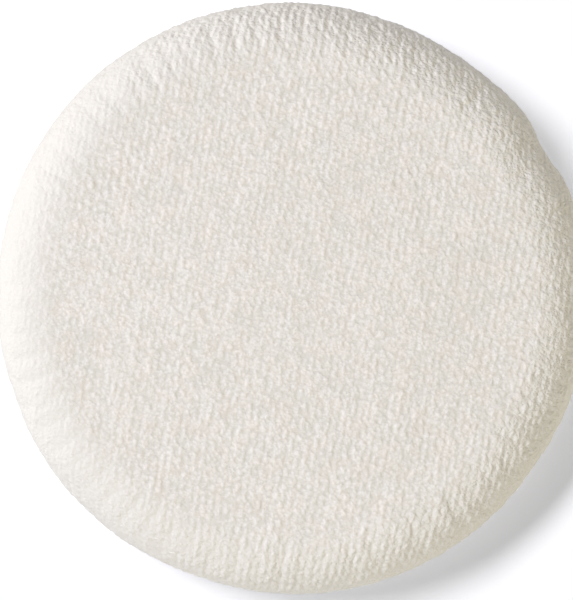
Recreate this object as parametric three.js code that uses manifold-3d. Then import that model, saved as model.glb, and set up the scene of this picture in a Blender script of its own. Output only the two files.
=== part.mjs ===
import * as THREE from 'three';
import { mergeVertices } from 'three/addons/utils/BufferGeometryUtils.js';
import Module from 'manifold-3d';

// A round velour powder puff, lying on its back with the powdering face up.
// Millimetres. +Z points up out of the powdering face and +X runs along the
// finger ribbon. The origin is under the middle of the puff, on the surface
// that it lies on.

// The whole puff
const puffDiameter = 60;
const puffHeight = 9;
const crownRollWidth = 5.9; // the crown's edge rolls over in this width
const crownDome = 1.3; // the crown swells this much over its whole width

// Velour covers
const frontClothThickness = 1.3;
const backClothThickness = 0.8; // the pile is pressed by the puff's weight
const backRollWidth = 2.4; // the flat back curves up over this width
const backInset = 0.3; // the back cover is this much smaller all round
const foldRadius = 0.7; // each cover turns into the seam round this radius

// Seam allowances, turned in between the two covers
const allowanceWidth = 4;
const allowanceThickness = 0.7;
const allowanceRiseShare = 0.3; // where the allowances end, from back to front cloth
const underAllowanceRoom = 0.2;

// Foam
const foamEdgeThickness = 0.5; // where it thins out above the allowances

// Finger ribbon
const ribbonWidth = 16;
const ribbonThickness = 0.3;
const ribbonProud = 0.2; // it stands this far out of the pile around it
const ribbonCaught = 3.4; // length of each end inside the seam

// Sewing thread
const threadDiameter = 0.3;
const stitchArch = 0.1; // a stitch bows this far off the cloth
const stitchInset = 1.5; // from the inside of the rolled edge to the seam
const tackWidth = 0.5;
const tackMargin = 1; // from the tack's end to the ribbon's edge
const turningGapAngle = THREE.MathUtils.degToRad(60);
const turningGapMiddle = THREE.MathUtils.degToRad(270);
const threadEndAngle = THREE.MathUtils.degToRad(1.5);

// Clearances
const layGap = 0.3; // between pieces that lie on each other
const cutOverrun = 2;

// Counts
const aroundSteps = 48;
const domeSteps = 2;
const crownSteps = 7;
const roofSteps = 4;
const rollSteps = 4;
const foldSteps = 3;
const threadSides = 5;
const stepsPerStitch = 6;
const seamStitches = 60;
const closingStitches = 11;
const tackStitches = 8;

// Radii and heights that follow from the sizes above
const rimRadius = puffDiameter / 2;
const backRadius = rimRadius - backInset;
const halfSeam = layGap / 2;
const backFloor = ribbonProud + backClothThickness;
const seamHeight = backFloor + underAllowanceRoom + allowanceThickness + halfSeam;
const frontWidest = seamHeight + halfSeam + foldRadius;
const backWidest = seamHeight - halfSeam - foldRadius;
const rollCentre = rimRadius - crownRollWidth;
const roofRadius = rimRadius - frontClothThickness;
const roofBase = seamHeight + halfSeam + allowanceThickness;
const roofRise = puffHeight - frontClothThickness - crownDome - roofBase;
const allowanceEnd = rimRadius - foldRadius - allowanceWidth;
const threadRadius = threadDiameter / 2;
const seamRadius = roofRadius - stitchInset;

const wasm = await Module();
wasm.setup();

// How far the low dome lifts the crown at a share of its radius
function domeAt(share) {
  return crownDome * (1 - share ** 2);
}

// The crown's outline from the axis to the rim, as [radius, height] pairs: a
// low dome whose edge rolls over in a quarter of an ellipse
function crown(radius, base, rise, steps) {
  const points = [];
  for (let i = 0; i < domeSteps; i += 1) {
    const reach = rollCentre * (i / domeSteps);
    points.push([reach, base + rise + domeAt(reach / radius)]);
  }
  for (let i = 0; i <= steps; i += 1) {
    const turn = (Math.PI / 2) * (i / steps);
    const reach = rollCentre + (radius - rollCentre) * Math.sin(turn);
    points.push([reach, base + rise * Math.cos(turn) + domeAt(reach / radius)]);
  }
  return points;
}

// Height of the front cloth's inner face at one radius
function roofAt(radius) {
  const past = Math.max(0, radius - rollCentre) / (roofRadius - rollCentre);
  return roofBase + roofRise * Math.sqrt(1 - past ** 2) + domeAt(radius / roofRadius);
}

// The radius inside which the front cloth's inner face is above one height
function roofReach(height) {
  const share = (height - roofBase) / roofRise;
  return rollCentre + (roofRadius - rollCentre) * Math.sqrt(1 - share ** 2);
}

// Height of the middle of the seam: level at the fold, then rising inwards
function seamAt(radius) {
  const endHeight = THREE.MathUtils.lerp(
    backFloor, roofAt(allowanceEnd), allowanceRiseShare);
  const inwards = (roofRadius - radius) / (roofRadius - allowanceEnd);
  return THREE.MathUtils.lerp(seamHeight, endHeight, Math.max(0, inwards));
}

// An arc of [radius, height] pairs, part of an upright ellipse
function arc(centreRadius, centreHeight, width, height, from, to, steps) {
  const points = [];
  for (let i = 0; i <= steps; i += 1) {
    const turn = THREE.MathUtils.lerp(from, to, i / steps);
    points.push([
      centreRadius + width * Math.cos(turn),
      centreHeight + height * Math.sin(turn),
    ]);
  }
  return points;
}

// The path that the back follows from the axis, flat along the bottom, up
// round the rim and into the seam, moved out of the cloth by the distance out
function backPath(out, endRadius) {
  const flatRadius = backRadius - backRollWidth;
  const innerFold = backRadius - foldRadius;
  return [
    [0, ribbonProud - out],
    ...arc(flatRadius, backWidest, backRollWidth + out,
      backWidest - ribbonProud + out, -Math.PI / 2, 0, rollSteps),
    ...arc(innerFold, backWidest, foldRadius + out, foldRadius + out,
      0, Math.PI / 2, foldSteps).slice(1),
    [roofRadius, seamHeight - halfSeam + out],
    [endRadius, seamAt(endRadius) - halfSeam + out],
  ];
}

// Turns a closed outline, or one that starts and ends on the axis, about Z
function revolve(outline) {
  const points = outline.map(([radius, height]) => new THREE.Vector2(radius, height));
  const geometry = new THREE.LatheGeometry(points, aroundSteps);
  return toSolid(geometry.rotateX(Math.PI / 2));
}

// Merges a geometry's shared corners, leaves out the faces that the axis
// folds flat, and makes a solid of the rest
function toSolid(geometry) {
  geometry.deleteAttribute('normal');
  geometry.deleteAttribute('uv');
  const merged = mergeVertices(geometry);
  const corners = merged.index.array;
  const triangles = [];
  for (let i = 0; i < corners.length; i += 3) {
    const [a, b, c] = corners.slice(i, i + 3);
    if (a !== b && b !== c && c !== a) {
      triangles.push(a, b, c);
    }
  }
  return new wasm.Manifold(new wasm.Mesh({
    numProp: 3,
    vertProperties: new Float32Array(merged.attributes.position.array),
    triVerts: new Uint32Array(triangles),
  }));
}

function toMesh(name, solid, material) {
  const { vertProperties, triVerts } = solid.getMesh();
  const geometry = new THREE.BufferGeometry();
  geometry.setAttribute('position', new THREE.BufferAttribute(vertProperties, 3));
  geometry.setIndex(new THREE.BufferAttribute(triVerts, 1));
  geometry.computeVertexNormals();
  const mesh = new THREE.Mesh(geometry, material);
  mesh.name = name;
  return mesh;
}

// A block across the whole puff along X, as wide as the ribbon and its room
function acrossBlock(width) {
  const length = puffDiameter + 2 * cutOverrun;
  const height = puffHeight + 2 * cutOverrun;
  const block = new THREE.BoxGeometry(length, width, height);
  return toSolid(block.translate(0, 0, puffHeight / 2));
}

// A flat ring sector between two heights, for the groove of the closing stitch
function ringSector(inner, outer, low, high, from, to) {
  const shape = new THREE.Shape();
  shape.absarc(0, 0, outer, from, to, false);
  shape.absarc(0, 0, inner, to, from, true);
  const geometry = new THREE.ExtrudeGeometry(shape, {
    depth: high - low,
    bevelEnabled: false,
    curveSegments: aroundSteps / 4,
  });
  return toSolid(geometry.translate(0, 0, low));
}

// One length of thread round the puff, its place given by the share of the
// way along it and by the turn of its stitches
function threadAlong(from, to, stitches, place) {
  const points = [];
  const steps = stitches * stepsPerStitch;
  for (let i = 0; i <= steps; i += 1) {
    const angle = THREE.MathUtils.lerp(from, to, i / steps);
    const turn = 2 * Math.PI * (i / stepsPerStitch);
    const { radius, height } = place(turn);
    points.push(new THREE.Vector3(
      radius * Math.cos(angle), radius * Math.sin(angle), height));
  }
  const section = new THREE.Shape();
  for (let i = 0; i < threadSides; i += 1) {
    const turn = 2 * Math.PI * (i / threadSides);
    const x = threadRadius * Math.cos(turn);
    const y = threadRadius * Math.sin(turn);
    if (i === 0) {
      section.moveTo(x, y);
    } else {
      section.lineTo(x, y);
    }
  }
  return toSolid(new THREE.ExtrudeGeometry(section, {
    steps,
    bevelEnabled: false,
    extrudePath: new THREE.CatmullRomCurve3(points),
  }));
}

// Velour front: crown, rolled edge, fold into the seam, allowance, and the
// hollow that the foam fills
function makeFrontCover(channel, groove) {
  const foldCentre = rimRadius - foldRadius;
  const outline = [
    ...crown(rimRadius, frontWidest, puffHeight - crownDome - frontWidest, crownSteps),
    ...arc(foldCentre, frontWidest, foldRadius, foldRadius,
      0, -Math.PI / 2, foldSteps).slice(1),
    [roofRadius, seamHeight + halfSeam],
    [allowanceEnd, seamAt(allowanceEnd) + halfSeam],
    [allowanceEnd, seamAt(allowanceEnd) + halfSeam + allowanceThickness],
    ...crown(roofRadius, roofBase, roofRise, roofSteps).reverse(),
  ];
  return revolve(outline.reverse()).subtract(channel).subtract(groove);
}

// Velour back: flat where it lies, with its own roll, fold and allowance, and
// the channel that the ribbon presses into the pile
function makeBackCover(channel, groove) {
  const underside = seamAt(allowanceEnd) - halfSeam - allowanceThickness;
  const wallRadius = backRadius - backClothThickness;
  const outline = [
    ...backPath(0, allowanceEnd),
    [allowanceEnd, underside],
    [roofRadius, seamHeight - halfSeam - allowanceThickness],
    [wallRadius, seamHeight - halfSeam - allowanceThickness],
    [wallRadius, backFloor],
    [0, backFloor],
  ];
  return revolve(outline).subtract(channel).subtract(groove);
}

// Foam disc: its foot fits inside the ring of allowances, and its wider top
// lies over the stitches on them and fills the crown
function makeFoamCore() {
  const footRadius = allowanceEnd - layGap;
  const ledge = topOfAllowance(allowanceEnd) + threadDiameter + 2 * layGap;
  const topRadius = roofReach(ledge + foamEdgeThickness + layGap) - layGap;
  const top = [];
  for (let i = 0; i <= crownSteps; i += 1) {
    const reach = topRadius * Math.sqrt(1 - i / crownSteps);
    top.push([reach, roofAt(reach) - layGap]);
  }
  return revolve([
    [0, backFloor + layGap],
    [footRadius, backFloor + layGap],
    [footRadius, ledge],
    [topRadius, ledge],
    ...top,
  ]);
}

// The space between two moved copies of the back's path, as wide as asked
function bandBetween(outer, inner, width, endRadius) {
  const outline = [
    ...backPath(outer, endRadius),
    ...backPath(inner, endRadius).reverse(),
  ];
  return revolve(outline).intersect(acrossBlock(width));
}

function makeRibbon() {
  const endRadius = backRadius - foldRadius - ribbonCaught;
  return bandBetween(ribbonProud, ribbonProud - ribbonThickness, ribbonWidth, endRadius);
}

// The room that the ribbon takes in the pile and between the allowances
function makeRibbonChannel() {
  return bandBetween(
    ribbonProud + layGap,
    ribbonProud - ribbonThickness - layGap,
    ribbonWidth + 2 * layGap,
    allowanceEnd - cutOverrun,
  );
}

// Machine seam, seen as it lies on the front cover's allowance
function makeSeamThread() {
  const halfGap = turningGapAngle / 2;
  const height = topOfAllowance(seamRadius) + layGap + threadRadius;
  return threadAlong(
    turningGapMiddle + halfGap + threadEndAngle,
    turningGapMiddle - halfGap - threadEndAngle + 2 * Math.PI,
    seamStitches,
    (turn) => ({
      radius: seamRadius,
      height: height + stitchArch * (1 - Math.cos(turn)) / 2,
    }),
  );
}

// Ladder stitch between the two allowances, over the turning gap
function makeClosingThread() {
  const halfGap = turningGapAngle / 2 - threadEndAngle;
  return threadAlong(
    turningGapMiddle - halfGap,
    turningGapMiddle + halfGap,
    closingStitches,
    (turn) => ({
      radius: seamRadius,
      height: seamAt(seamRadius) + stitchArch * Math.sin(turn),
    }),
  );
}

function makeClosingGroove() {
  const halfGap = turningGapAngle / 2;
  const room = threadRadius + layGap;
  const height = seamAt(seamRadius);
  return ringSector(
    seamRadius - room,
    seamRadius + room,
    height - stitchArch - room,
    height + stitchArch + room,
    turningGapMiddle - halfGap,
    turningGapMiddle + halfGap,
  );
}

// Zigzag tack through the allowances over one end of the ribbon
function makeRibbonTack(middle) {
  const outerRadius = seamRadius - threadDiameter - layGap;
  const tackRadius = outerRadius - tackWidth / 2;
  const halfAngle = Math.asin((ribbonWidth / 2 - tackMargin) / tackRadius);
  return threadAlong(middle - halfAngle, middle + halfAngle, tackStitches, (turn) => {
    const radius = tackRadius + (tackWidth / 2) * Math.sin(turn);
    return { radius, height: topOfAllowance(radius) + layGap + threadRadius };
  });
}

function topOfAllowance(radius) {
  return seamAt(radius) + halfSeam + allowanceThickness;
}

const velour = new THREE.MeshStandardMaterial({
  name: 'velour', color: 0xe2ddd6, roughness: 0.95, metalness: 0,
});
const foam = new THREE.MeshStandardMaterial({
  name: 'foam', color: 0xf0e9d4, roughness: 0.9, metalness: 0,
});
const satin = new THREE.MeshStandardMaterial({
  name: 'satin', color: 0xf3f0ea, roughness: 0.35, metalness: 0,
});
const thread = new THREE.MeshStandardMaterial({
  name: 'thread', color: 0xf1ede4, roughness: 0.6, metalness: 0,
});

const channel = makeRibbonChannel();
const groove = makeClosingGroove();

const puff = new THREE.Group();
puff.add(
  toMesh('front_cover', makeFrontCover(channel, groove), velour),
  toMesh('back_cover', makeBackCover(channel, groove), velour),
  toMesh('foam_core', makeFoamCore(), foam),
  toMesh('ribbon_band', makeRibbon(), satin),
  toMesh('seam_thread', makeSeamThread(), thread),
  toMesh('closing_thread', makeClosingThread(), thread),
  toMesh('ribbon_tack_left', makeRibbonTack(Math.PI), thread),
  toMesh('ribbon_tack_right', makeRibbonTack(0), thread),
);

export default puff;
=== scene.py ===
import math

import bpy
import numpy as np
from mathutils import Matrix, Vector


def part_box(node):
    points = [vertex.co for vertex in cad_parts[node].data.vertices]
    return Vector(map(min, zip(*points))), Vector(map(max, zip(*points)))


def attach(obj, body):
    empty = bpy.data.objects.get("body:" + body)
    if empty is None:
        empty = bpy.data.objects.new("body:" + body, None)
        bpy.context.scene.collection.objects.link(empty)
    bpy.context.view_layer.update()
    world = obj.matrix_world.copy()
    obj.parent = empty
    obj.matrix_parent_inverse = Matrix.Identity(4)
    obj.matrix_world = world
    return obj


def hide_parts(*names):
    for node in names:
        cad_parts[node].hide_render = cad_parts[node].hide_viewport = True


# Round velour powder puff, lying on its back with the powdering face up.
# Lengths in the dictionaries are in millimetres, the model is in metres.

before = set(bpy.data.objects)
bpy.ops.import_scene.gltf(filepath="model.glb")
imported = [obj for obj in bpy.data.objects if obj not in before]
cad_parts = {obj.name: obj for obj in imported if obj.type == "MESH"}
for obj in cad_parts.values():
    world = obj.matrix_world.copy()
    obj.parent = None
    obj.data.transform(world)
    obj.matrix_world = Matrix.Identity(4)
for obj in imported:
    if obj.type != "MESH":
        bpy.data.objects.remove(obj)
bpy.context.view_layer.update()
mm = 0.001

cover = {
    "roll": 5.9,                # the crown's edge rolls over in this width
    "dome": 1.3,                # the crown swells this much over its whole width
    "frontCloth": 1.3,
    "backCloth": 0.8,
    "backRoll": 2.4,
    "fold": 0.7,                # radius of the turn into the seam
    "allowanceWidth": 4.0,
    "allowance": 0.7,
    "allowanceRise": 0.3,       # where the allowances end, from back to front cloth
    "cutBow": 0.3,              # how far their cut edges bulge
    "gap": 0.3,                 # between pieces that lie on each other
    "fineStep": 0.204,          # spacing of the points that carry the pile
    "coarseStep": 0.9,          # spacing of the points inside the puff
    "stepEase": 0.35,           # how fast the one passes into the other
}


def boxMm(node):
    low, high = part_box(node)
    return [v / mm for v in low], [v / mm for v in high]


frontLow, frontHigh = boxMm("front_cover")
backLow, backHigh = boxMm("back_cover")
foamRadius = boxMm("foam_core")[1][0]

rimRadius = frontHigh[0]
crownTop = frontHigh[2]
backRadius = backHigh[1]
halfSeam = cover["gap"] / 2
seamHeight = frontLow[2] - halfSeam
frontWidest = frontLow[2] + cover["fold"]
backBottom = backLow[2]
backFloor = backBottom + cover["backCloth"]
backWidest = seamHeight - halfSeam - cover["fold"]
rollStart = rimRadius - cover["roll"]
roofRadius = rimRadius - cover["frontCloth"]
roofBase = seamHeight + halfSeam + cover["allowance"]
roofTop = crownTop - cover["frontCloth"]
allowanceEnd = rimRadius - cover["fold"] - cover["allowanceWidth"]
print("frame loaded: rim radius", round(rimRadius, 2), "crown top", round(crownTop, 2))


# Outlines, as rows of [radius, height]

def arcPath(centre, radii, fromTurn, toTurn, steps=60):
    turn = np.linspace(fromTurn, toTurn, steps)
    return np.stack([centre[0] + radii[0] * np.cos(turn), centre[1] + radii[1] * np.sin(turn)], 1)


def crownPath(radius, base, top):
    rise = top - base - cover["dome"]
    domeReach = np.linspace(0, rollStart, 240)[:-1]
    turn = np.linspace(0, math.pi / 2, 240)
    reach = np.concatenate([domeReach, rollStart + (radius - rollStart) * np.sin(turn)])
    fall = np.concatenate([np.ones(len(domeReach)), np.cos(turn)])
    return np.stack([reach, base + rise * fall + cover["dome"] * (1 - (reach / radius) ** 2)], 1)


def roofAt(radius):
    path = crownPath(roofRadius, roofBase, roofTop)
    return np.interp(radius, path[:, 0], path[:, 1])


def seamAt(radius):
    end = backFloor + (roofAt(allowanceEnd) - backFloor) * cover["allowanceRise"]
    inwards = np.clip((roofRadius - radius) / (roofRadius - allowanceEnd), 0, None)
    return seamHeight + (end - seamHeight) * inwards


def topOfAllowance(radius):
    return seamAt(radius) + halfSeam + cover["allowance"]


def backPath(out=0.0, endRadius=None):
    flatRadius = backRadius - cover["backRoll"]
    fold = cover["fold"] + out
    rollRadii = (cover["backRoll"] + out, backWidest - backBottom + out)
    rows = [
        np.stack([np.linspace(0, flatRadius, 100)[:-1], np.full(99, backBottom - out)], 1),
        arcPath((flatRadius, backWidest), rollRadii, -math.pi / 2, 0),
        arcPath((backRadius - cover["fold"], backWidest), (fold, fold), 0, math.pi / 2)[1:],
    ]
    if endRadius:
        reach = np.linspace(roofRadius, endRadius, 40)
        rows.append(np.stack([reach, seamAt(reach) - halfSeam + out], 1))
    return np.concatenate(rows)


# The turned-in allowance: along its seam side, round its cut edge and back along the other
def allowancePath(side):
    start = (rimRadius if side > 0 else backRadius) - cover["fold"]
    half, bow = cover["allowance"] / 2, cover["cutBow"]
    last = allowanceEnd + bow
    reach = np.linspace(start, last, 30)
    near = np.stack([reach, seamAt(reach) + side * halfSeam], 1)
    far = np.stack([reach, seamAt(reach) + side * (halfSeam + cover["allowance"])], 1)
    middle = seamAt(last) + side * (halfSeam + half)
    turn = np.linspace(-math.pi / 2, math.pi / 2, 9)[1:-1]
    edge = np.stack([last - bow * np.cos(turn), middle + side * half * np.sin(turn)], 1)
    return near, edge, far[::-1]


def measured(path):
    steps = np.hypot(*np.diff(path, axis=0).T)
    keep = np.concatenate([[True], steps > 1e-7])
    path = path[keep]
    return path, np.concatenate([[0.0], np.cumsum(np.hypot(*np.diff(path, axis=0).T))])


# Radius and height of a path at lengths along it
def pointsAt(at, run, path):
    return np.interp(at, run, path[:, 0]), np.interp(at, run, path[:, 1])


# Places rings along a path: radius, height, the direction that points out of the cloth, and the run
def ringsAlong(path, step, skipFirst=False, ease=0.08):
    path, run = measured(path)
    count = max(2, round(run[-1] / step))
    at = np.linspace(0, run[-1], count + 1)[1 if skipFirst else 0:]
    radius, height = pointsAt(at, run, path)
    before = pointsAt((at - ease).clip(0), run, path)
    after = pointsAt((at + ease).clip(None, run[-1]), run, path)
    dr, dz = after[0] - before[0], after[1] - before[1]
    length = np.hypot(dr, dz)
    return np.stack([radius, height, -dz / length, dr / length, at], 1)


# Soft random field over a plane, from -1 to 1, with one value at each corner of its cells
def patchy(x, y, cell, seed, size=251):
    corners = np.random.default_rng(seed).uniform(-1, 1, (size, size))
    px, py = x / cell + 5000, y / cell + 5000
    ix, iy = np.floor(px).astype(int), np.floor(py).astype(int)
    fx, fy = px - ix, py - iy
    fx, fy = fx * fx * (3 - 2 * fx), fy * fy * (3 - 2 * fy)
    i0, i1, j0, j1 = ix % size, (ix + 1) % size, iy % size, (iy + 1) % size
    low = corners[i0, j0] * (1 - fx) + corners[i1, j0] * fx
    high = corners[i0, j1] * (1 - fx) + corners[i1, j1] * fx
    return low * (1 - fy) + high * fy


knit = {
    # period, direction in degrees and share of each wave; the first is the ribs
    "waves": [(0.78, -9.5, 1.15), (1.01, 29.0, 0.5), (1.25, -60.0, 0.35), (0.79, 68.5, 0.5),
              (0.508, 29.5, 0.46)],
    "lean": 80.5,               # degrees that the ribs lean from +X
    "ribHeight": 0.021,
    "ribLevel": 0.9,            # strength of the ribs in the middle, and their gain outwards
    "ribGain": 0.4,
    "ribGainFrom": 6.0,
    "ribGainTo": 20.0,
    "ribUneven": 0.25,
    "unevenCell": 6.0,
    "tuftHeight": 0.0425,
    "tufts": [(0.33, 1.25, 1.0), (0.23, 1.1, 0.5)],     # width, stretch along the ribs, share
    "dimpleHeight": 0.036,
    "dimple": (1.0, 1.8),       # width, stretch along the ribs
    "slowHeight": 0.02,
    "slow": [(8.0, 1.0), (3.5, 0.5)],                   # width, share
    "sway": 0.14,
    "swayCell": 2.1,
}


# Height of the pile over the cloth's own plane, from the knit's loops and the tufts on them
def pileHeight(x, y, seed):
    swayX = x + knit["sway"] * patchy(x, y, knit["swayCell"], seed + 1)
    swayY = y + knit["sway"] * patchy(x, y, knit["swayCell"], seed + 2)
    ribs = np.zeros_like(x)
    for period, direction, share in knit["waves"]:
        turn = math.radians(direction)
        ribs += share * np.cos(2 * math.pi * (swayX * math.cos(turn) + swayY * math.sin(turn)) / period)
    lean = math.radians(knit["lean"])
    along = swayX * math.cos(lean) + swayY * math.sin(lean)
    across = -swayX * math.sin(lean) + swayY * math.cos(lean)
    tufts = sum(share * patchy(along / stretch, across, width, seed + 3 + i)
                for i, (width, stretch, share) in enumerate(knit["tufts"]))
    width, stretch = knit["dimple"]
    dimples = patchy(along / stretch, across, width, seed + 8)
    strength = knit["ribLevel"] + knit["ribGain"] * smoothStep(
        knit["ribGainFrom"], knit["ribGainTo"], np.hypot(x, y))
    uneven = 1 + knit["ribUneven"] * patchy(x, y, knit["unevenCell"], seed + 5)
    slow = sum(share * patchy(x, y, width, seed + 6 + i) for i, (width, share) in enumerate(knit["slow"]))
    return (knit["ribHeight"] * (strength * uneven) * ribs + knit["tuftHeight"] * tufts
            + knit["dimpleHeight"] * dimples + knit["slowHeight"] * slow)


# Degrees from a place round the puff, from -180 to 180
def degreesOff(turn, at):
    return (np.degrees(turn) - at + 180) % 360 - 180


# Soft lumps in the outline: degrees round, width in degrees, height
lumps = [
    (138, 32, 0.15), (57, 14, -0.26), (40, 4, 0.12), (30, 5, -0.42), (18, 7, 0.10), (73, 8, -0.14),
    (200, 5, -0.12), (228, 4, -0.08), (250, 11, -0.18), (282, 9, 0.06), (325, 13, -0.16),
]


def lumpAt(turn):
    total = np.zeros_like(turn)
    for at, width, height in lumps:
        total += height * np.exp(-(degreesOff(turn, at) / width) ** 2)
    return total


# Each cover's outer band is blown up as cloth between the crown and the seam
settle = {
    "from": 24.5,               # radius where the band starts
    "rings": 22,
    "around": 288,
    "enlarge": 10.0,            # the band is simulated this much larger than it is
    "frames": 20,
    "slack": 0.02,              # spare cloth, as a share of its length
    "pressure": 4.0,
    "draw": 0.25,               # how far each stitch pulls the seam's edge in
    "pulls": 72,                # places round the seam where the cloth is drawn in
    "stiffness": 0.05,
    "limit": 0.16,
    "keep": 0.7,                # share of the simulated folds that stays after wear
}


# How much each stitch draws the cloth in at one place round the seam
def puckerAt(turn):
    pull = 0.5 + 0.5 * np.cos(turn * settle["pulls"])
    uneven = 0.65 + 0.35 * patchy(turn * 12, turn * 0, 1.0, 71)
    return pull * uneven


def smoothStep(low, high, value):
    t = np.clip((value - low) / (high - low), 0, 1)
    return t * t * (3 - 2 * t)


# Simulates a coarse band of a cover as cloth, held at the crown and at every stitch of the seam,
# and returns how far it stands out of its smooth outline at any turn and run along it
def settledBand(outside, side):
    path, run = measured(outside)
    rings, around, scale = settle["rings"], settle["around"], settle["enlarge"] * mm
    at = np.linspace(run[np.argmax(path[:, 0] > settle["from"])], run[-1], rings)
    radius, height = pointsAt(at, run, path)
    turn = 2 * math.pi * np.arange(around) / around
    reach, level = (np.repeat(part[:, None], around, 1) for part in (radius, height))
    reach[-1] -= settle["draw"] * puckerAt(turn)
    start = roundPoints(turn, reach, level)
    index = np.arange(rings * around).reshape(rings, around)
    faces = np.stack([index[:-1], index[1:], np.roll(index[1:], -1, 1), np.roll(index[:-1], -1, 1)], -1)
    mesh = bpy.data.meshes.new("band")
    mesh.from_pydata((start * scale).reshape(-1, 3).tolist(), [], faces.reshape(-1, 4)[:, ::side].tolist())
    band = bpy.data.objects.new("band", mesh)
    bpy.context.scene.collection.objects.link(band)
    band.vertex_groups.new(name="held").add(np.concatenate([index[0], index[-1]]).tolist(), 1.0, "REPLACE")
    cloth = band.modifiers.new("cloth", "CLOTH")
    cloth.settings.vertex_group_mass = "held"
    cloth.settings.shrink_min = -settle["slack"]
    cloth.settings.use_pressure = True
    cloth.settings.uniform_pressure_force = settle["pressure"]
    cloth.settings.bending_stiffness = settle["stiffness"]
    cloth.settings.effector_weights.gravity = 0
    cloth.point_cache.frame_end = settle["frames"]
    for step in range(1, settle["frames"] + 1):
        bpy.context.scene.frame_set(step)
    shaped = band.evaluated_get(bpy.context.evaluated_depsgraph_get()).data
    end = np.empty(rings * around * 3, dtype=np.float32)
    shaped.vertices.foreach_get("co", end)
    move = end.reshape(rings, around, 3) / scale - start
    bpy.data.objects.remove(band)
    bpy.data.meshes.remove(mesh)
    bpy.context.scene.frame_set(1)
    dr, dz = np.gradient(radius, at), np.gradient(height, at)
    outwards = move[..., 0] * np.cos(turn) + move[..., 1] * np.sin(turn)
    out = -outwards * dz[:, None] + move[..., 2] * dr[:, None]
    out = side * (out - out.mean(1, keepdims=True))
    out = settle["keep"] * settle["limit"] * np.tanh(out / settle["limit"])
    print("cover settled, folds up to", round(float(np.abs(out).max()), 3), "mm")

    def liftOf(turns, runs):
        row = np.clip((runs - at[0]) / (at[1] - at[0]), 0, rings - 1.001)
        column = (turns / (2 * math.pi) * around) % around
        i, j = row.astype(int), column.astype(int) % around
        fi, fj, k = row - i, column - np.floor(column), (j + 1) % around
        near = out[i, j] * (1 - fj) + out[i, k] * fj
        far = out[i + 1, j] * (1 - fj) + out[i + 1, k] * fj
        return near * (1 - fi) + far * fi

    return liftOf


def roundPoints(turn, radius, height):
    return np.stack([radius * np.cos(turn), radius * np.sin(turn), height], -1)


# Triangles between rings of different counts, closed at both ends by a single point
def ringMesh(radii, spacing, seed):
    draw = np.random.default_rng(seed)
    counts = np.maximum(6, np.round(2 * math.pi * radii / np.maximum(spacing, 1e-3))).astype(int)
    counts[0] = counts[-1] = 1
    starts = np.concatenate([[0], np.cumsum(counts)])
    offsets = draw.uniform(0, 1, len(counts)) / counts
    offsets[0] = offsets[-1] = 0
    turn = 2 * math.pi * np.concatenate([offset + np.arange(n) / n for offset, n in zip(offsets, counts)])
    row = np.repeat(np.arange(len(counts)), counts)
    faces = []
    for i in range(len(counts) - 1):
        a, b, n, m = starts[i], starts[i + 1], counts[i], counts[i + 1]
        keyA = offsets[i] + (np.arange(n) + 0.5) / n
        keyB = offsets[i + 1] + (np.arange(m) + 0.5) / m
        if n > 1:
            apex = np.searchsorted(keyB, keyA) % m
            k = np.arange(n)
            faces.append(np.stack([a + k, b + apex, a + (k + 1) % n], 1))
        if m > 1:
            apex = np.searchsorted(keyA, keyB, side="right") % n
            k = np.arange(m)
            faces.append(np.stack([b + k, b + (k + 1) % m, a + apex], 1))
    return turn, row, np.concatenate(faces)


# A mesh object from points in millimetres and triangles, with uv maps given by point
def newPiece(name, points, faces, material, maps=()):
    points = np.array(points) * mm
    points[:, 2] = np.maximum(points[:, 2], 0)   # nothing sinks below the table
    mesh = bpy.data.meshes.new(name)
    mesh.vertices.add(len(points))
    mesh.vertices.foreach_set("co", points.astype(np.float32).ravel())
    sides = faces.shape[1]
    mesh.loops.add(faces.size)
    mesh.loops.foreach_set("vertex_index", faces.astype(np.int32).ravel())
    mesh.polygons.add(len(faces))
    mesh.polygons.foreach_set("loop_start", np.arange(0, faces.size, sides, dtype=np.int32))
    mesh.polygons.foreach_set("use_smooth", np.ones(len(faces), dtype=bool))
    for mapName, place in maps:
        layer = mesh.uv_layers.new(name=mapName)
        layer.data.foreach_set("uv", np.asarray(place, dtype=np.float32)[faces.ravel()].ravel())
    mesh.update(calc_edges=True)
    mesh.validate()
    mesh.materials.append(material)
    piece = bpy.data.objects.new(name, mesh)
    bpy.context.scene.collection.objects.link(piece)
    return piece


def seat(piece, node):
    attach(piece, "root")
    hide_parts(node)


# Shader helpers: a value that is itself a socket is linked, any other is set

def feed(tree, socket, value):
    if isinstance(value, bpy.types.NodeSocket):
        tree.links.new(value, socket)
    else:
        socket.default_value = value


def shaderNode(tree, kind, place, **values):
    node = tree.nodes.new(kind)
    node.location = place
    for key, value in values.items():
        if hasattr(node, key):
            setattr(node, key, value)
        else:
            feed(tree, node.inputs[key.replace("_", " ")], value)
    return node


def mathNode(tree, operation, place, *values):
    node = shaderNode(tree, "ShaderNodeMath", place, operation=operation)
    for socket, value in zip(node.inputs, values):
        feed(tree, socket, value)
    return node.outputs[0]


def mapRange(tree, place, value, fromMin=0.0, fromMax=1.0, toMin=0.0, toMax=1.0, **values):
    node = shaderNode(tree, "ShaderNodeMapRange", place, Value=value, From_Min=fromMin, From_Max=fromMax,
                      To_Min=toMin, To_Max=toMax, **values)
    return node.outputs[0]


def mixColour(tree, place, factor, first, second):
    node = shaderNode(tree, "ShaderNodeMix", place, data_type="RGBA", Factor=factor, A=first, B=second)
    return node.outputs["Result"]


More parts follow.
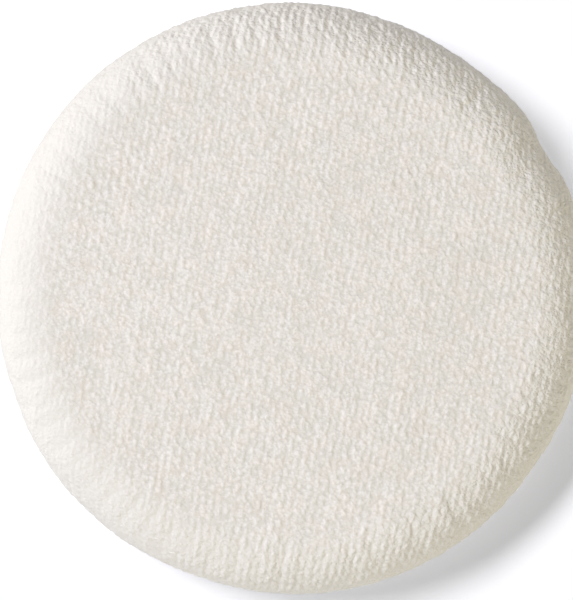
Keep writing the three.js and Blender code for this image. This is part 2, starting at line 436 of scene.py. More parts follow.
# An effect group takes a place on the cloth and its own inputs, and gives colour, height and roughness.
# An input has a default where some material doesn't set it.
def newGroup(name, inputs):
    group = bpy.data.node_groups.new(name, "ShaderNodeTree")
    for socketName, kind, *default in [("Place", vector), *inputs]:
        socket = group.interface.new_socket(name=socketName, in_out="INPUT", socket_type=kind)
        if default:
            socket.default_value = default[0]
    for socketName, kind in [("Colour", colour), ("Height", number), ("Roughness", number)]:
        group.interface.new_socket(name=socketName, in_out="OUTPUT", socket_type=kind)
    start = group.nodes.new("NodeGroupInput")
    start.location = (-900, 0)
    end = group.nodes.new("NodeGroupOutput")
    end.location = (800, 0)
    return group, start.outputs, end.inputs


def giveOut(group, made, *values):
    for name, value in zip(("Colour", "Height", "Roughness"), values):
        feed(group, made[name], value)
    return group


number, colour, vector = "NodeSocketFloat", "NodeSocketColor", "NodeSocketVector"


# Short dense pile: fine fibres that lean along the ribs, soft mottling and a few specks of lint,
# and painted shade in the ground between the tufts
def pileGroup():
    group, given, made = newGroup("pileShade", [
        ("Lean", number), ("Tip Colour", colour), ("Ground Colour", colour), ("Warm Colour", colour),
        ("Cool Colour", colour), ("Rise", number), ("Mottle", number), ("Speck", number),
        ("Even Colour", colour), ("Even From", number, 22.5), ("Even To", number, 27.5),
        ("Rim Grain", number, 0.0),
    ])
    back = mathNode(group, "MULTIPLY", (-880, -120), given["Lean"], -math.pi / 180)
    turned = shaderNode(group, "ShaderNodeVectorRotate", (-700, 100), rotation_type="Z_AXIS",
                        Vector=given["Place"], Angle=back)
    drawn = shaderNode(group, "ShaderNodeMapping", (-520, 100), Vector=turned.outputs[0],
                       Scale=(1.35, 0.75, 1.0))
    fibres = shaderNode(group, "ShaderNodeTexNoise", (-340, 200), Vector=drawn.outputs[0],
                        Scale=3.4, Roughness=0.6, Distortion=0.2)
    fluff = shaderNode(group, "ShaderNodeTexVoronoi", (-340, -40), feature="SMOOTH_F1",
                       Vector=given["Place"], Scale=2.9, Smoothness=0.5)
    strand = mathNode(group, "MULTIPLY_ADD", (-160, 260), fibres.outputs[0], 0.9, 0.7)
    hollow = mathNode(group, "MULTIPLY", (-160, -40), fluff.outputs[0], 0.8)
    pile = mathNode(group, "SUBTRACT", (-20, 160), strand, hollow)

    # painted shade: the tips are light and the ground between them dark, the darker the lower the pile
    # stands
    standing = mathNode(group, "MULTIPLY_ADD", (20, 20), given["Rise"], 0.27, pile)
    pileShadeMix = mapRange(group, (120, 220), standing, 0.58, 1.06)
    cloth = mixColour(group, (220, 160), pileShadeMix, given["Ground Colour"], given["Tip Colour"])
    blotch = shaderNode(group, "ShaderNodeTexNoise", (-340, -300), Vector=given["Place"],
                        Scale=0.5, Detail=4.0, Roughness=0.58)
    warmth = mapRange(group, (-120, -260), blotch.outputs[0], 0.36, 0.64)
    tint = mixColour(group, (60, -220), warmth, given["Cool Colour"], given["Warm Colour"])
    mottled = mixColour(group, (380, 60), given["Mottle"], cloth, tint)

    # lint lies in some of the cells
    cells = shaderNode(group, "ShaderNodeTexVoronoi", (-340, -560), Vector=given["Place"], Scale=0.16)
    near = mathNode(group, "LESS_THAN", (-120, -520), cells.outputs["Distance"], 0.02)
    parts = shaderNode(group, "ShaderNodeSeparateColor", (-160, -680), Color=cells.outputs["Color"])
    chosen = mathNode(group, "LESS_THAN", (40, -640), parts.outputs[0], 0.22)
    spot = mathNode(group, "MULTIPLY", (100, -540), near, chosen)
    speck = mathNode(group, "MULTIPLY", (200, -560), spot, given["Speck"])

    # over the rim the colour evens out, and the fibres coarsen towards the right
    away = shaderNode(group, "ShaderNodeVectorMath", (-340, -800), operation="LENGTH")
    feed(group, away.inputs[0], given["Place"])
    evened = mapRange(group, (-120, -800), away.outputs["Value"], given["Even From"], given["Even To"],
                      toMax=0.85, interpolation_type="SMOOTHSTEP")
    plain = mixColour(group, (460, -60), evened, mottled, given["Even Colour"])
    facing = shaderNode(group, "ShaderNodeVectorMath", (-340, -1000), operation="DOT_PRODUCT")
    for socket, value in zip(facing.inputs, (given["Place"], (0.018, 0, 0))):
        feed(group, socket, value)
    toRight = mathNode(group, "ADD", (-160, -1000), facing.outputs["Value"], 0.5)
    share = mathNode(group, "MULTIPLY", (20, -960), evened, toRight)
    coarse = mathNode(group, "MULTIPLY_ADD", (200, -900), share, given["Rim Grain"], 1.0)

    shade = mixColour(group, (620, 60), speck, plain, (0.16, 0.13, 0.1, 1))
    height = mathNode(group, "MULTIPLY", (380, -860), pile, coarse)
    rough = mapRange(group, (300, -120), pile, 0.6, 1.1, 0.98, 0.86)
    return giveOut(group, made, shade, height, rough)


# Woven floats of yarn, laid like bricks: long along the ribbon, short across it, with uneven shine
# from yarn to yarn and a tighter, ribbed band along each edge. The colour follows their height, with
# painted shade between the floats and in the ribs, and a painted sheen on the raised streaks
def weaveGroup():
    group, given, made = newGroup("yarnWeave", [
        ("Float Length", number), ("Yarn Width", number), ("Half Width", number, 8.0),
        ("Edge Width", number, 0.7), ("Light Colour", colour), ("Deep Colour", colour),
    ])
    bricks = shaderNode(group, "ShaderNodeTexBrick", (-400, 150), offset=0.4, Vector=given["Place"],
                        Scale=1.0, Mortar_Size=0.012, Mortar_Smooth=1.0,
                        Brick_Width=given["Float Length"], Row_Height=given["Yarn Width"])
    drawn = shaderNode(group, "ShaderNodeMapping", (-600, -180), Vector=given["Place"],
                       Scale=(0.12, 3.2, 1.0))
    streak = shaderNode(group, "ShaderNodeTexNoise", (-400, -180), Vector=drawn.outputs[0],
                        Scale=1.0, Detail=4.0, Roughness=0.6)
    parts = shaderNode(group, "ShaderNodeSeparateXYZ", (-600, -480), Vector=given["Place"])
    outwards = mathNode(group, "ABSOLUTE", (-400, -480), parts.outputs["Y"])
    fromEdge = mathNode(group, "SUBTRACT", (-240, -480), given["Half Width"], outwards)
    inBand = mathNode(group, "LESS_THAN", (-80, -480), fromEdge, given["Edge Width"])
    picks = mathNode(group, "MULTIPLY", (-400, -640), parts.outputs["X"], 22.0)
    beat = mathNode(group, "SINE", (-240, -640), picks)
    ridge = mathNode(group, "MULTIPLY_ADD", (-80, -640), beat, 0.45, -0.5)
    rib = mathNode(group, "MULTIPLY", (80, -560), inBand, ridge)
    yarn = mathNode(group, "SUBTRACT", (-160, 100), 1.0, bricks.outputs["Fac"])
    uneven = mathNode(group, "MULTIPLY_ADD", (-160, -120), streak.outputs[0], 1.6, rib)
    height = mathNode(group, "ADD", (0, 100), yarn, uneven)
    lit = mapRange(group, (160, 200), height, 0.9, 2.1)
    shade = mixColour(group, (340, 120), lit, given["Deep Colour"], given["Light Colour"])
    rough = mapRange(group, (160, -160), streak.outputs[0], 0.3, 0.7, 0.26, 0.46)
    return giveOut(group, made, shade, height, rough)


# Spun fibres that run slantwise round a ply of thread, with painted shade between them, as the colour
# follows their height
def spunGroup():
    group, given, made = newGroup("spunFibre", [("Light Colour", colour), ("Deep Colour", colour)])
    slant = shaderNode(group, "ShaderNodeMapping", (-560, 100), Vector=given["Place"], Rotation=(0, 0, 0.5),
                       Scale=(1.0, 9.0, 1.0))
    strands = shaderNode(group, "ShaderNodeTexNoise", (-340, 100), Vector=slant.outputs[0],
                         Scale=2.2, Detail=3.0)
    lit = mapRange(group, (-120, 100), strands.outputs[0], 0.35, 0.65)
    shade = mixColour(group, (120, 100), lit, given["Deep Colour"], given["Light Colour"])
    rough = mapRange(group, (120, -120), strands.outputs[0], 0.35, 0.65, 0.75, 0.5)
    return giveOut(group, made, shade, strands.outputs[0], rough)


# Open cells of foam, deeper in their middles and darker there with painted shade
def foamGroup():
    group, given, made = newGroup("foamCells", [("Wall Colour", colour), ("Pit Colour", colour)])
    cells = shaderNode(group, "ShaderNodeTexVoronoi", (-400, 120), feature="DISTANCE_TO_EDGE",
                       Vector=given["Place"], Scale=1900.0)
    wall = mapRange(group, (-180, 120), cells.outputs["Distance"], 0.0, 0.28, 1.0, 0.0)
    shade = mixColour(group, (120, 120), wall, given["Pit Colour"], given["Wall Colour"])
    rough = mapRange(group, (120, -100), wall, toMin=0.98, toMax=0.86)
    return giveOut(group, made, shade, wall, rough)


# A cloth material: one effect group feeds colour, roughness and bump of a Principled shader
def clothMaterial(name, group, values, bumpDistance, bumpStrength, sheen, useUv=True):
    material = bpy.data.materials.new(name)
    material.use_nodes = True
    tree = material.node_tree
    shader = tree.nodes["Principled BSDF"]
    for key, value in sheen.items():
        shader.inputs[key].default_value = value
    effect = shaderNode(tree, "ShaderNodeGroup", (-500, 100), node_tree=group)
    for key, value in values.items():
        effect.inputs[key].default_value = value
    if useUv:
        place = shaderNode(tree, "ShaderNodeUVMap", (-760, 0), uv_map="cloth").outputs[0]
    else:
        place = shaderNode(tree, "ShaderNodeTexCoord", (-760, 0)).outputs["Object"]
    feed(tree, effect.inputs["Place"], place)
    if "Rise" in effect.inputs:
        rise = shaderNode(tree, "ShaderNodeAttribute", (-760, -200), attribute_name="pile")
        feed(tree, effect.inputs["Rise"], rise.outputs["Fac"])
    bump = shaderNode(tree, "ShaderNodeBump", (-240, -160), Height=effect.outputs["Height"],
                      Strength=bumpStrength, Distance=bumpDistance * mm)
    feed(tree, shader.inputs["Normal"], bump.outputs[0])
    feed(tree, shader.inputs["Base Color"], effect.outputs["Colour"])
    feed(tree, shader.inputs["Roughness"], effect.outputs["Roughness"])
    return material


def sheenOf(specular, weight, roughness):
    return {"Specular IOR Level": specular, "Sheen Weight": weight, "Sheen Roughness": roughness}


softSheen = sheenOf(0.15, 0.25, 0.4)
silkSheen = sheenOf(0.55, 0.25, 0.25)
matt = sheenOf(0.2, 0.0, 0.5)

pile = pileGroup()
frontVelour = clothMaterial("frontVelour", pile, {
    "Lean": 80.5,
    "Tip Colour": (0.908, 0.865, 0.863, 1),
    # the ground colour carries painted shade between the tufts
    "Ground Colour": (0.690, 0.660, 0.624, 1),
    "Warm Colour": (0.876, 0.808, 0.780, 1),
    "Cool Colour": (0.812, 0.814, 0.806, 1),
    "Even Colour": (0.815, 0.785, 0.760, 1),
    "Rim Grain": 1.0,
    "Mottle": 0.37,
    "Speck": 0.6,
}, bumpDistance=0.073, bumpStrength=1.0, sheen=softSheen)
backVelour = clothMaterial("backVelour", pile, {
    "Lean": 98.0,
    "Tip Colour": (0.903, 0.859, 0.846, 1),
    # the ground colour carries painted shade between the tufts
    "Ground Colour": (0.690, 0.660, 0.622, 1),
    "Warm Colour": (0.872, 0.802, 0.774, 1),
    "Cool Colour": (0.812, 0.814, 0.806, 1),
    "Even Colour": (0.812, 0.781, 0.755, 1),
    "Mottle": 0.37,
    "Speck": 0.3,
}, bumpDistance=0.073, bumpStrength=1.0, sheen=softSheen)
satin = clothMaterial("ivorySatin", weaveGroup(), {
    "Float Length": 0.55,
    "Yarn Width": 0.11,
    # the lighter colour carries painted sheen on the raised yarn, the darker one painted shade between the
    # floats
    "Light Colour": (0.885, 0.85, 0.79, 1),
    "Deep Colour": (0.655, 0.61, 0.54, 1),
}, bumpDistance=0.03, bumpStrength=0.8, sheen=silkSheen)
thread = clothMaterial("ivoryThread", spunGroup(), {
    # the darker colour is painted shade between the strands
    "Light Colour": (0.86, 0.82, 0.75, 1),
    "Deep Colour": (0.66, 0.61, 0.54, 1),
}, bumpDistance=0.02, bumpStrength=0.7, sheen=matt)
foam = clothMaterial("creamFoam", foamGroup(), {
    "Wall Colour": (0.86, 0.80, 0.65, 1),
    # the pit colour is painted shade in the hollows of the cells
    "Pit Colour": (0.60, 0.52, 0.37, 1),
}, bumpDistance=0.15, bumpStrength=0.9, sheen=matt, useUv=False)
print("materials made")


# One velour cover as a closed cloth: pile outside, then the turned-in allowance and its inner face.
# The side is 1 where the cloth's outer face looks up, and -1 where it looks down.
def coverPiece(name, outside, inside, material, seed, liftAt, side):
    settled = settledBand(outside, side)
    fine = ringsAlong(outside, cover["fineStep"])
    lining = ringsAlong(inside, cover["coarseStep"], skipFirst=True)
    outRun = fine[-1, 4]
    lining[:, 4] += outRun
    isOuter = np.repeat([1.0, 0.0], [len(fine), len(lining)])
    rings = np.concatenate([fine, lining])
    # the spacing eases from fine to coarse over the first rings of the lining
    eased = cover["fineStep"] + (rings[:, 4] - outRun).clip(0) * cover["stepEase"]
    spacing = np.minimum(np.where(isOuter > 0, cover["fineStep"], cover["coarseStep"]), eased)
    turn, row, faces = ringMesh(rings[:, 0], spacing, seed)
    radius, height, outR, outZ, run = rings[row].T
    outer = isOuter[row]
    standing = liftAt(turn, radius, height, run, outer)
    lift = side * (standing + outer * settled(turn, run))
    shift = lumpAt(turn) * smoothStep(rollStart - 4, rimRadius, radius)
    radius = radius + (outR * lift + shift)
    height = height + outZ * lift
    cloth = np.stack([run * np.cos(turn), run * np.sin(turn)], 1)
    # for baking: the outside as a disc in the middle, the lining as a small disc in one corner
    discReach, cornerReach, corner, wholeRun = 0.495, 0.07, 0.073, rings[-1, 4]
    inwards = (wholeRun - run) / (wholeRun - outRun)
    share = np.where(outer > 0, run / outRun * discReach, inwards * cornerReach)
    middle = np.where(outer > 0, 0.5, corner)
    bake = np.stack([middle + share * np.cos(turn), middle + share * np.sin(turn)], 1)
    piece = newPiece(name, roundPoints(turn, radius, height), faces[:, ::side], material,
                     [("OFBake", bake), ("cloth", cloth)])
    # how far the pile stands up, in tenths of a millimetre, for the painted shade in the cover's colour
    shade = piece.data.attributes.new("pile", "FLOAT", "POINT")
    shade.data.foreach_set("value", (standing * 10).astype(np.float32))
    return piece


# How the pile of the covers lies apart from its knit
wear = {
    "rimFrom": 22.0,            # radii between which the ribs open over the rim
    "rimTo": 27.0,
    "openAcross": 0.65,         # how much higher they stand where they run over it
    "openRight": 0.35,          # how much of that is gained at the right and lost at the left
    "rightSide": 0.3,           # and how much higher at the right, lower at the left, everywhere
    "along": 0.2,               # how much lower they stand where they lie along it
    "edge": 0.5,                # share of the pile that is gone at the very edge
    "frontPull": 0.10,          # how deep the stitches draw each cover in
    "backPull": 0.08,
    "frontDent": 0.10,          # how deep the ribbon presses into each cover
    "backDent": 0.24,
    "closingDent": 0.22,
    "pressed": 0.7,             # share of the pile that the ribbon flattens
    "laidFlat": 0.5,            # share of the pile that the table flattens
    "swell": 0.05,              # the cloth swells beside the ribbon
}


def frontLift(turn, radius, height, run, outer):
    x, y = run * np.cos(turn), run * np.sin(turn)
    # the ribs open where they run over the rim, most at its right, and are smooth where they lie along it
    across = (wear["openAcross"] + wear["openRight"] * np.cos(turn)) * np.sin(turn) ** 2
    opened = smoothStep(wear["rimFrom"], wear["rimTo"], radius) * (
        across + wear["rightSide"] * np.cos(turn) - wear["along"])
    worn = wear["edge"] * smoothStep(rimRadius - 1.1, rimRadius - 0.1, radius)
    lift = pileHeight(x, y, 10) * outer * (1 + opened) * (1 - worn)
    drawn = smoothStep(frontWidest + 2.6, frontWidest - 0.4, height) * outer
    lift -= wear["frontPull"] * drawn * puckerAt(turn)
    inSeam = onSeam(radius, height, outer, 1)
    lift -= wear["frontDent"] * inSeam * ribbonShare(radius, turn, 0.5) * (radius > 10)
    lift -= wear["closingDent"] * inSeam * closingShare(radius, turn)
    return lift


def backLift(turn, radius, height, run, outer):
    x, y = run * np.cos(turn), run * np.sin(turn)
    flat = smoothStep(backRadius + 0.5, backRadius - 3.5, radius) * (height < backWidest)
    lift = pileHeight(x, y, 40) * outer * (1 - wear["laidFlat"] * flat)
    drawn = smoothStep(backWidest - 0.9, backWidest + 0.6, height) * outer
    lift -= wear["backPull"] * drawn * puckerAt(turn + 0.02)
    inSeam = onSeam(radius, height, outer, -1)
    pressed = np.maximum(outer, inSeam * (radius > 10))
    beside = np.abs(radius * np.sin(turn)) - ribbonForm["width"] / 2
    lift += wear["swell"] * np.exp(-((beside - 0.9) / 0.7) ** 2) * outer * (1 - drawn)
    share = ribbonShare(radius, turn, 0.45)
    lift = lift * (1 - wear["pressed"] * share * pressed) - wear["backDent"] * share * pressed
    lift -= wear["closingDent"] * inSeam * closingShare(radius, turn)
    return lift


# 1 where the allowance of the cover on this side of the seam faces the other one
def onSeam(radius, height, outer, side):
    return (1 - outer) * (np.abs(height - seamAt(radius) - side * halfSeam) < 0.05)


# 1 under the ribbon, falling to 0 beside its edges
def ribbonShare(radius, turn, ease):
    edge = ribbonForm["width"] / 2 + 0.12
    return smoothStep(edge + ease, edge, np.abs(radius * np.sin(turn)))


# 1 under the closing stitch, falling to 0 beside it and past its ends
def closingShare(radius, turn):
    off, half = np.abs(degreesOff(turn, stitch["gapMiddle"])), stitch["gapAngle"] / 2
    return smoothStep(0.75, 0.35, np.abs(radius - seamRadius)) * smoothStep(half + 1, half, off)


def makeFront():
    fold = cover["fold"]
    near, edge, far = allowancePath(1)
    outside = np.concatenate([
        crownPath(rimRadius, frontWidest, crownTop),
        arcPath((rimRadius - fold, frontWidest), (fold, fold), 0, -math.pi / 2)[1:],
    ])
    roof = crownPath(roofRadius, roofBase, roofTop)[::-1]
    inside = np.concatenate([near, edge, far[far[:, 0] < roofRadius - 0.1], roof])
    piece = coverPiece("front_velour", outside, inside, frontVelour, 1, frontLift, 1)
    seat(piece, "front_cover")


def makeBack():
    near, edge, far = allowancePath(-1)
    wall = backRadius - cover["backCloth"]
    outside = backPath()
    inside = np.concatenate([near, edge, far[far[:, 0] < wall - 0.1], [
        (wall, seamHeight - halfSeam - cover["allowance"]), (wall, backFloor), (0, backFloor)]])
    piece = coverPiece("back_velour", outside, inside, backVelour, 2, backLift, -1)
    seat(piece, "back_cover")


foamForm = {
    "step": 0.55,               # spacing of the rings and of the points on them
    "spacing": 0.6,
    "pitDepth": 0.10,
    "pitWidth": 0.75,
    "unevenDepth": 0.03,
    "unevenWidth": 5.0,
}


# Foam disc: foot inside the ring of allowances, wider top that fills the crown, pitted all over
def makeFoam():
    foot, top, floor = allowanceEnd - cover["gap"], foamRadius, backFloor + cover["gap"]
    ledge = topOfAllowance(allowanceEnd) + stitch["diameter"] + 2 * cover["gap"]
    reach = np.linspace(0, top - 0.25, 120)
    crown = np.stack([reach, roofAt(reach) - cover["gap"] - 0.05], 1)
    # the cut edges are slightly blunted
    path = np.concatenate([crown, [
        (top, crown[-1, 1] - 0.3), (top - 0.05, ledge + 0.15), (top - 0.2, ledge), (foot + 0.15, ledge),
        (foot, ledge - 0.15), (foot, floor + 0.2), (foot - 0.2, floor), (0, floor)]])
    rings = ringsAlong(path, foamForm["step"])
    turn, row, faces = ringMesh(rings[:, 0], np.full(len(rings), foamForm["spacing"]), 3)
    radius, height, outR, outZ, run = rings[row].T
    x, y = run * np.cos(turn), run * np.sin(turn)
    pits = -foamForm["pitDepth"] * np.abs(patchy(x, y, foamForm["pitWidth"], 31))
    pits += foamForm["unevenDepth"] * patchy(x, y, foamForm["unevenWidth"], 32)
    points = roundPoints(turn, radius + outR * pits, height + outZ * pits)
    piece = newPiece("foam_disc", points, faces, foam)
    seat(piece, "foam_core")


ribbonForm = {
    "width": 16.0,
    "thickness": 0.22,
    "proud": 0.18,              # how far its outer face stands out of the back's outline
    "caught": 3.4,              # length of each end inside the seam
    "selvedge": 0.07,           # how much thicker the woven edges are
    "selvedgeFrom": (0.905, 0.925),     # shares of the half width between which they thicken
    "roundFrom": 0.975,         # and from where the very edge thins out, to what share
    "thinEdge": 0.14,
    "flatRadius": 21.0,         # inside this its length is measured straight along +X
    "wave": 0.03,
    "scallop": 0.03,            # height and pitch of the weft's loops along the edges
    "scallopPitch": 0.9,
    "columns": 190,
    "rows": 44,
}


# Satin ribbon: a thin woven band that follows the back round the rim and into the seam
def makeRibbon():
    form = ribbonForm
    halfWidth, endRadius = form["width"] / 2, backRadius - cover["fold"] - form["caught"]
    # columns and rows crowd together where the band bends and at its edges
    share = np.linspace(-1, 1, form["columns"] * 2 + 1)
    share = np.sign(share) * (1 - (1 - np.abs(share)) ** 1.25)
    y = np.linspace(-1, 1, form["rows"] + 1)
    y = halfWidth * np.sign(y) * (1 - (1 - np.abs(y)) ** 1.6)
    gridShare, gridY = np.meshgrid(share, y, indexing="ij")

    def face(standOff):
        path, run = measured(backPath(standOff, endRadius))
        radius, height = pointsAt(np.abs(gridShare) * run[-1], run, path)
        flat = form["flatRadius"]
        atRow = np.sqrt(np.maximum(radius, flat) ** 2 - gridY ** 2)
        reach = np.where(radius < flat, radius / flat, 1) * atRow
        return np.stack([np.sign(gridShare) * reach, gridY, height], -1), run[-1]

    outer, halfLength = face(form["proud"])
    inner = face(form["proud"] - form["thickness"])[0]
    middle, half = (outer + inner) / 2, (outer - inner) / 2
    edge, end = np.abs(gridY) / halfWidth, np.abs(gridShare)
    selvedge = 1 + form["selvedge"] / form["thickness"] * smoothStep(*form["selvedgeFrom"], edge)
    rounded = np.sqrt(np.clip(1 - smoothStep(form["roundFrom"], 1.0, edge) ** 2, 0.0, 1))
    rounded = rounded * (1 - form["thinEdge"]) + form["thinEdge"]
    wave = form["wave"] * patchy(gridShare * 30, gridY, 5.0, 51) * smoothStep(1.0, 0.8, end)
    loops = np.cos(gridShare * halfLength * 2 * math.pi / form["scallopPitch"])
    half = half * (selvedge * rounded)[..., None]
    middle[..., 1] += np.sign(gridY) * (form["scallop"] * loops * smoothStep(0.96, 1.0, edge))
    middle[..., 2] += np.where(middle[..., 2] < 0.4, wave.clip(0), 0)
    points = np.concatenate([(middle + half).reshape(-1, 3), (middle - half).reshape(-1, 3)])

    total = gridY.size
    index = np.arange(total).reshape(gridY.shape)
    a, b, c, d = (part.ravel() for part in (index[:-1, :-1], index[1:, :-1], index[1:, 1:], index[:-1, 1:]))
    loop = np.concatenate([index[:-1, 0], index[-1, :-1], index[:0:-1, -1], index[0, :0:-1]])
    after = np.roll(loop, -1)
    faces = np.concatenate([
        np.stack([a, d, c, b], 1),
        np.stack([a, b, c, d], 1) + total,
        np.stack([loop, after, after + total, loop + total], 1),
    ])
    length = 2 * halfLength
    cloth = np.stack([(gridShare * halfLength).ravel(), gridY.ravel()], 1)
    scale = 0.98 / length
    bake = np.concatenate([(0.5, level) + cloth * scale for level in (0.25, 0.75)])
    cloth = np.concatenate([cloth, cloth + (0.2, 0.05)])
    piece = newPiece("ribbon", points, faces, satin, [("OFBake", bake), ("cloth", cloth)])
    seat(piece, "ribbon_band")
    print("ribbon length", round(length, 1))


stitch = {
    "diameter": 0.30,
    "inset": 1.5,
    "arch": 0.1,
    "gapAngle": 60.0,           # the gap that the ladder stitch closes
    "gapMiddle": 270.0,
    "endAngle": 1.5,
    "seamCount": 60,
    "closingCount": 11,
    "tackCount": 8,
    "tackWidth": 0.5,
    "tackMargin": 1.0,
    "plyPitch": 0.75,           # length of one turn of the two plies
    "step": 0.085,              # spacing of the rings of points along a ply
    "sides": 6,
    "dip": 0.16,                # how far a seam stitch sinks at its ends
}

seamRadius = roofRadius - stitch["inset"]


# A length of two-ply thread along a smooth path of points
def threadPiece(name, node, path):
    path, sides = np.asarray(path), stitch["sides"]
    run = np.concatenate([[0], np.cumsum(np.linalg.norm(np.diff(path, axis=0), axis=1))])
    n = int(run[-1] / stitch["step"]) + 1
    at = np.linspace(0, run[-1], n)
    core = np.stack([np.interp(at, run, path[:, k]) for k in range(3)], 1)
    ahead = np.gradient(core, axis=0)
    ahead /= np.linalg.norm(ahead, axis=1)[:, None]
    side = np.cross(ahead, (0, 0, 1.0))
    side /= np.linalg.norm(side, axis=1)[:, None]
    up = np.cross(side, ahead)
    # the plies are a little fat, so that they touch, and thin out at the thread's ends
    plyRadius = stitch["diameter"] / 4 * 1.06
    taper = np.sqrt(np.clip(np.minimum(at, run[-1] - at) / (plyRadius * 1.2), 0.12, 1))
    points, faces, cloth = [], [], []
    for ply in range(2):
        twist = 2 * math.pi * at / stitch["plyPitch"] + math.pi * ply
        middle = core + plyRadius * 0.94 * (side * np.cos(twist)[:, None] + up * np.sin(twist)[:, None])
        base = ply * sides * n
        for k in range(sides):
            turn = 2 * math.pi * k / sides
            around = side * math.cos(turn) + up * math.sin(turn)
            points.append(middle + (plyRadius * taper)[:, None] * around)
            cloth.append(np.stack([at, np.full(n, k / sides * 0.5)], 1))
            a = base + k * n + np.arange(n - 1)
            b = base + ((k + 1) % sides) * n + np.arange(n - 1)
            faces += [np.stack([a, a + 1, b + 1], 1), np.stack([a, b + 1, b], 1)]
        for end, flip in ((0, 1), (n - 1, -1)):
            rim = np.array([base + k * n + end for k in range(sides)])[::flip]
            faces.append(np.stack([np.full(sides - 2, rim[0]), rim[1:-1], rim[2:]], 1))
    piece = newPiece(
        name, np.concatenate(points), np.concatenate(faces), thread, [("cloth", np.concatenate(cloth))])
    seat(piece, node)


# Points of a thread round the puff, with its radius and height from the phase of its stitches
def roundPath(fromTurn, toTurn, stitches, place):
    perStitch = 24
    steps = stitches * perStitch
    turn = np.linspace(fromTurn, toTurn, steps + 1)
    phase = 2 * math.pi * np.arange(steps + 1) / perStitch
    radius, height = place(phase)
    return roundPoints(turn, radius, height + 0 * turn)


def makeThreads():
    halfGap = math.radians(stitch["gapAngle"] / 2)
    middle, end = math.radians(stitch["gapMiddle"]), math.radians(stitch["endAngle"])
    lying = cover["gap"] + stitch["diameter"] / 2

    # each stitch lies on the cloth and dips towards the needle holes at its ends
    def seamPlace(phase):
        between = (1 - np.cos(phase)) / 2
        rise = stitch["arch"] * between - stitch["dip"] * np.exp(-between / 0.02)
        return seamRadius, topOfAllowance(seamRadius) + lying + rise

    threadPiece("seam_stitches", "seam_thread", roundPath(
        middle + halfGap + end, middle - halfGap - end + 2 * math.pi, stitch["seamCount"], seamPlace))

    # the ladder stitch crosses from one allowance to the other and back
    def ladderPlace(phase):
        steepness = 3
        step = np.tanh(steepness * np.sin(phase)) / math.tanh(steepness)
        return seamRadius, seamAt(seamRadius) + stitch["arch"] * step

    threadPiece("closing_stitches", "closing_thread", roundPath(
        middle - halfGap + end, middle + halfGap - end, stitch["closingCount"], ladderPlace))

    tackRadius = seamRadius - stitch["diameter"] - cover["gap"] - stitch["tackWidth"] / 2
    halfAngle = math.asin((ribbonForm["width"] / 2 - stitch["tackMargin"]) / tackRadius)

    # the tacks run in a zigzag with rounded corners
    def tackPlace(phase):
        radius = tackRadius + stitch["tackWidth"] / math.pi * np.arcsin(0.98 * np.sin(phase))
        return radius, topOfAllowance(radius) + lying

    threadPiece("tack_stitches_left", "ribbon_tack_left", roundPath(
        math.pi - halfAngle, math.pi + halfAngle, stitch["tackCount"], tackPlace))
    threadPiece("tack_stitches_right", "ribbon_tack_right", roundPath(
        -halfAngle, halfAngle, stitch["tackCount"], tackPlace))


camera = {
    "middle": (-0.64, -0.18),   # where the picture's middle falls on the puff
    "rimDistance": 600.0,       # from the lens to the puff's widest ring
    "pictureHeight": 60.84,     # what the picture's long side covers at that ring
    "sensor": 36.0,
}


def makeCamera():
    lens = bpy.data.cameras.new("camera")
    eye = bpy.data.objects.new("camera", lens)
    bpy.context.scene.collection.objects.link(eye)
    distance = camera["rimDistance"]
    lens.sensor_width = camera["sensor"]
    lens.lens = camera["sensor"] * distance / camera["pictureHeight"]
    x, y = camera["middle"]
    eye.location = (x * mm, y * mm, (distance + frontWidest) * mm)
    lens.clip_start, lens.clip_end = 0.01, 10
    bpy.context.scene.camera = eye


# The key lamp casts the shadow, and is wide for a soft one. The other two are shadowless, from the
# left and the lower right of the picture, and the fill lights the puff alone. A share is a lamp's part
# of the light on a level face, and a size its width and height.
light = {
    "key": {"towards": 151.5, "elevation": 44.0, "size": (3600.0, 1200.0), "share": 0.473,
            "tone": (0.99, 0.98, 0.98)},
    "side": {"towards": 200.0, "elevation": 40.0, "size": (1800.0, 1800.0), "share": 0.233,
             "tone": (0.955, 1, 1.07)},
    "fill": {"towards": 326.0, "elevation": 15.0, "size": (1800.0, 1800.0), "share": 0.107,
             "tone": (1.05, 1, 0.80)},
    "sky": {"share": 0.165, "tone": (1.06, 0.99, 0.78)},
    "distance": 5000.0,
    "floor": (1.16, 1.17, 1.235),       # as it is seen
    "bounce": (0.88, 0.88, 0.88),       # and what it gives back to the puff
}


# A soft lamp; under it alone a level white face would show its share as a grey level
def makeLamp(name, shadow):
    form = light[name]
    lamp = bpy.data.lights.new(name, "AREA")
    lamp.shape = "ELLIPSE"
    lamp.size, lamp.size_y = (side * mm for side in form["size"])
    lamp.color = form["tone"]
    lamp.use_shadow = shadow
    high, around = math.radians(form["elevation"]), math.radians(form["towards"])
    distance = light["distance"] * mm
    spread = math.hypot(distance, lamp.size / 2) * math.hypot(distance, lamp.size_y / 2)
    lamp.energy = form["share"] * math.pi ** 2 * spread / math.sin(high)
    stand = bpy.data.objects.new(name, lamp)
    bpy.context.scene.collection.objects.link(stand)
    stand.location = (
        distance * math.cos(high) * math.cos(around),
        distance * math.cos(high) * math.sin(around),
        distance * math.sin(high),
    )
    stand.rotation_mode = "QUATERNION"
    stand.rotation_quaternion = stand.location.to_track_quat("Z", "Y")
    return stand


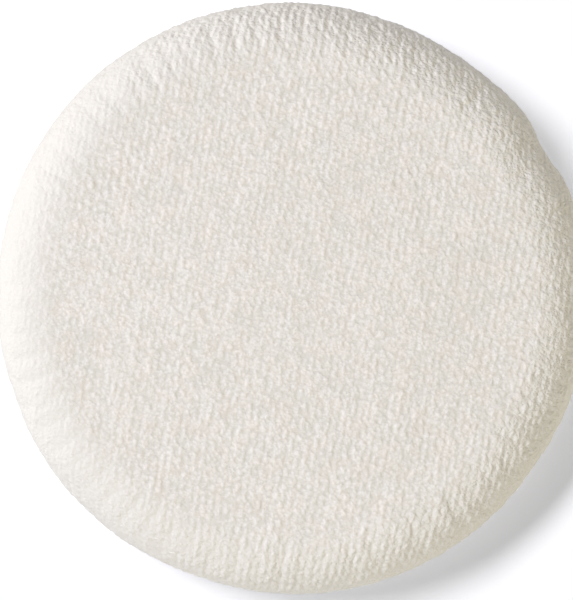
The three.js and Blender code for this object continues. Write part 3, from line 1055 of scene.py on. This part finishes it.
# 1 where the camera looks, also through glass or in a mirror, and 0 where a surface only gathers light
def seenMask(tree):
    path = shaderNode(tree, "ShaderNodeLightPath", (-900, 0))
    lens, mirror, glass = (path.outputs["Is %s Ray" % kind] for kind in ("Camera", "Glossy", "Transmission"))
    indirect = mathNode(tree, "MAXIMUM", (-700, -100), mirror, glass)
    return mathNode(tree, "MAXIMUM", (-500, 0), lens, indirect)


# White where it is seen, and a soft warm level where it only gives light
def makeSky():
    world = bpy.data.worlds.new("studio")
    bpy.context.scene.world = world
    world.use_nodes = True
    tree = world.node_tree
    sky = tree.nodes["Background"]
    seen = seenMask(tree)
    feed(tree, sky.inputs["Strength"], mapRange(tree, (-300, -100), seen, toMin=light["sky"]["share"]))
    feed(tree, sky.inputs["Color"], mixColour(
        tree, (-300, 150), seen, (*light["sky"]["tone"], 1), (1, 1, 1, 1)))


def makeFloor():
    bpy.ops.mesh.primitive_plane_add(size=4)
    floor = bpy.context.object
    floor.name = "floor"
    material = bpy.data.materials.new("paleFloor")
    material.use_nodes = True
    tree = material.node_tree
    shader = tree.nodes["Principled BSDF"]
    shader.inputs["Roughness"].default_value = 1
    shader.inputs["Specular IOR Level"].default_value = 0
    seen = seenMask(tree)
    feed(tree, shader.inputs["Base Color"], mixColour(
        tree, (-300, 0), seen, (*light["bounce"], 1), (*light["floor"], 1)))
    floor.data.materials.append(material)
    return floor


# Keeps a lamp's light off one object
def leaveOut(lamp, piece):
    group = bpy.data.collections.new(piece.name + " without " + lamp.name)
    group.objects.link(piece)
    lamp.light_linking.receiver_collection = group
    group.collection_objects[0].light_linking.link_state = "EXCLUDE"


makeCamera()
makeLamp("key", shadow=True)
makeLamp("side", shadow=False)
fill = makeLamp("fill", shadow=False)
makeSky()
leaveOut(fill, makeFloor())
print("camera, lamps and floor made")

makeFront()
print("front cover made")
makeBack()
print("back cover made")
makeFoam()
makeRibbon()
makeThreads()
print("foam, ribbon and threads made")

bpy.context.scene.view_settings.view_transform = "Standard"
